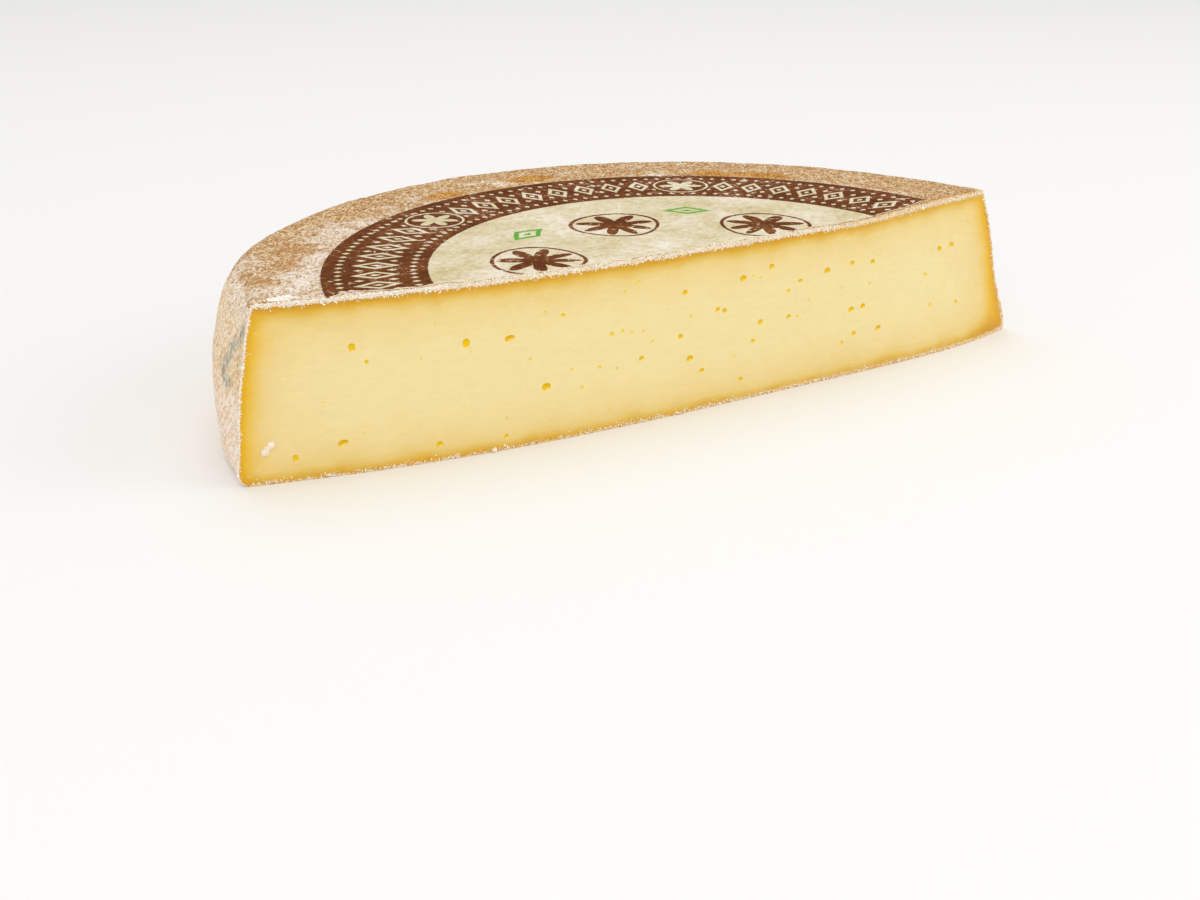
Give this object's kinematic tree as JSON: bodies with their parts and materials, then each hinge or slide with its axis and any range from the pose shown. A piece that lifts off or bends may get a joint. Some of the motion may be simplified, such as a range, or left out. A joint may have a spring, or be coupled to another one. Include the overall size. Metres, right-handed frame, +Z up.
{
  "type": "raclette half wheel",
  "caption": "Half of a round washed-rind cheese wheel lying flat, with a pale pitted cut face, cloth-marked rind and a torn printed paper label on top.",
  "frame": {"origin": "under the middle of the half wheel's bounding box, on the surface it lies on", "axes": "+X along the cut to the viewer's right, +Y from the cut into the cheese, +Z up"},
  "size_m": [0.322, 0.1486, 0.0599],
  "materials": {
    "cheese": "smooth yellow paste inside a dry, cloth-marked tan rind with pale bloom",
    "label": "uncoated printed paper, brown and cream, scuffed"
  },
  "bodies": {
    "root": {"cheese": "cheese", "label": "label"}
  },
  "joints": []
}
